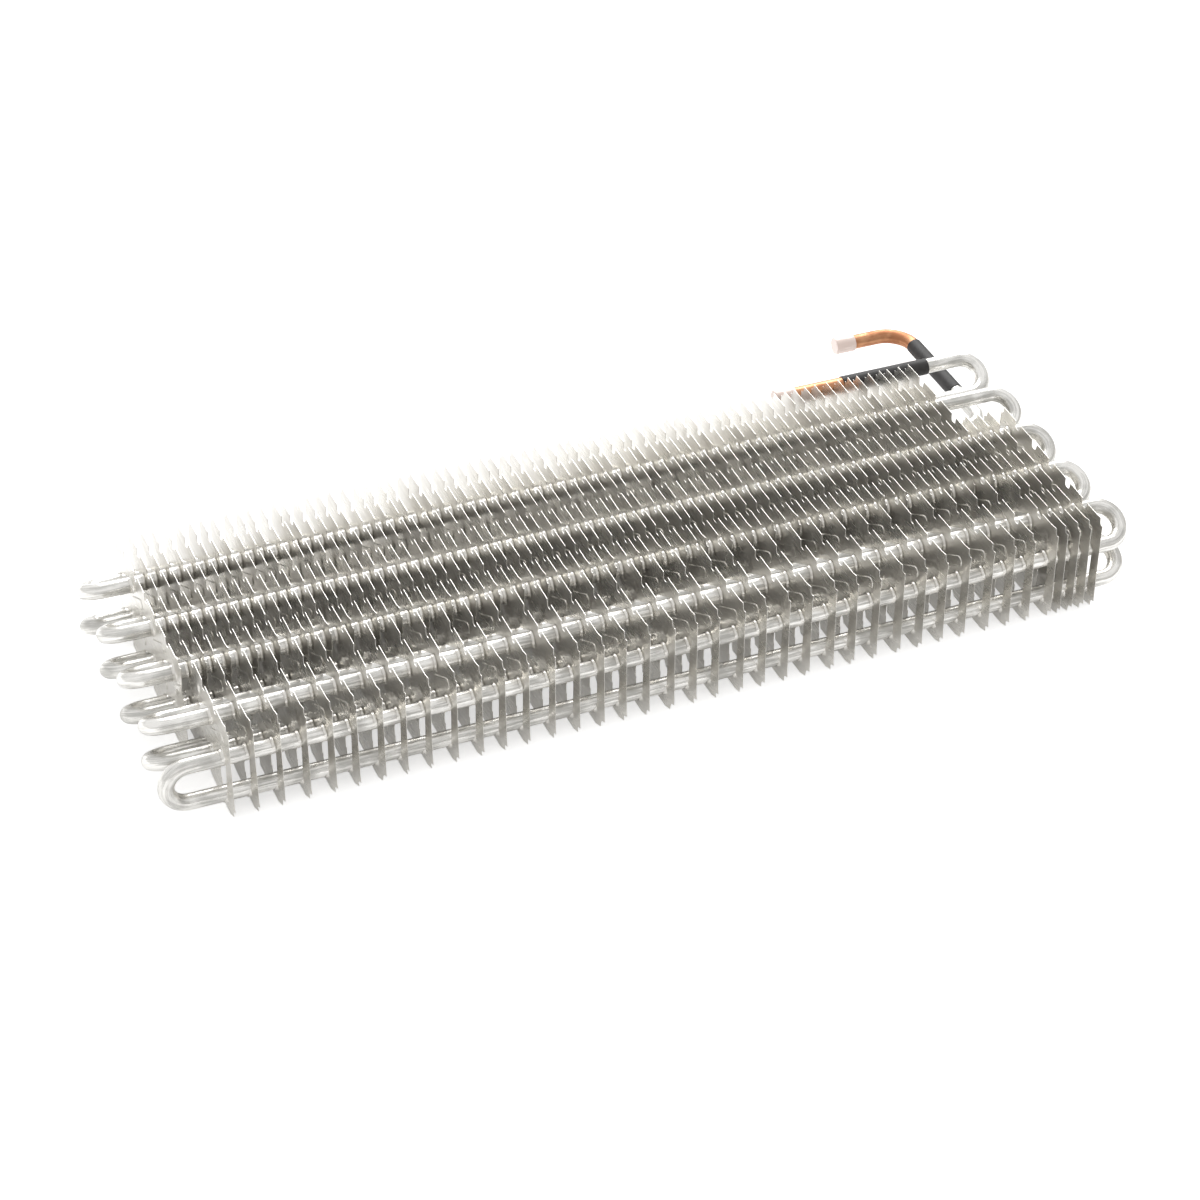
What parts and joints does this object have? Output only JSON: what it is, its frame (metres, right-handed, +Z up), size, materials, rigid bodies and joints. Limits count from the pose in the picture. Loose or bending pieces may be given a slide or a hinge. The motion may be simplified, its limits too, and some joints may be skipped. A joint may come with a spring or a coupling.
{
  "type": "finned evaporator coil",
  "caption": "Freezer evaporator coil: one serpentine aluminium tube through pressed-on aluminium fins, with capped copper ends under black sleeves at one corner.",
  "frame": {"origin": "under the middle of the whole coil, on the surface that the feet of the fins stand on", "axes": "+X along the passes, towards the end with the copper pipes; +Y from the wide-spaced front fins to the back; +Z up"},
  "size_m": [0.6086, 0.3116, 0.065],
  "materials": {
    "aluminium_tube": "bright drawn aluminium",
    "aluminium_fin": "bright rolled sheet",
    "copper": "drawn copper, lightly tarnished",
    "black_sleeve": "satin black shrink tube",
    "clear_cap": "cloudy translucent plastic"
  },
  "bodies": {
    "root": {"tube_circuit": "aluminium_tube", "upper_copper_end": "copper", "lower_copper_end": "copper", "upper_sleeve": "black_sleeve", "lower_sleeve": "black_sleeve", "upper_cap": "clear_cap", "lower_cap": "clear_cap", "wide_fin_01": "aluminium_fin", "wide_fin_02": "aluminium_fin", "wide_fin_03": "aluminium_fin", "wide_fin_04": "aluminium_fin", "wide_fin_05": "aluminium_fin", "wide_fin_06": "aluminium_fin", "wide_fin_07": "aluminium_fin", "wide_fin_08": "aluminium_fin", "wide_fin_09": "aluminium_fin", "wide_fin_10": "aluminium_fin", "wide_fin_11": "aluminium_fin", "wide_fin_12": "aluminium_fin", "wide_fin_13": "aluminium_fin", "wide_fin_14": "aluminium_fin", "wide_fin_15": "aluminium_fin", "wide_fin_16": "aluminium_fin", "wide_fin_17": "aluminium_fin", "wide_fin_18": "aluminium_fin", "wide_fin_19": "aluminium_fin", "wide_fin_20": "aluminium_fin", "wide_fin_21": "aluminium_fin", "wide_fin_22": "aluminium_fin", "wide_fin_23": "aluminium_fin", "wide_fin_24": "aluminium_fin", "wide_fin_25": "aluminium_fin", "wide_fin_26": "aluminium_fin", "wide_fin_27": "aluminium_fin", "wide_fin_28": "aluminium_fin", "wide_fin_29": "aluminium_fin", "wide_fin_30": "aluminium_fin", "wide_fin_31": "aluminium_fin", "wide_fin_32": "aluminium_fin", "wide_fin_33": "aluminium_fin", "wide_fin_34": "aluminium_fin", "wide_fin_35": "aluminium_fin", "wide_fin_36": "aluminium_fin", "end_fin_1": "aluminium_fin", "end_fin_2": "aluminium_fin", "end_fin_3": "aluminium_fin", "end_fin_4": "aluminium_fin", "rear_fins_1": "aluminium_fin", "rear_fins_2": "aluminium_fin", "rear_fins_3": "aluminium_fin", "rear_fins_4": "aluminium_fin", "rear_fins_5": "aluminium_fin", "rear_fins_6": "aluminium_fin", "rear_fins_7": "aluminium_fin", "rear_fins_8": "aluminium_fin", "rear_fins_9": "aluminium_fin"}
  },
  "joints": []
}
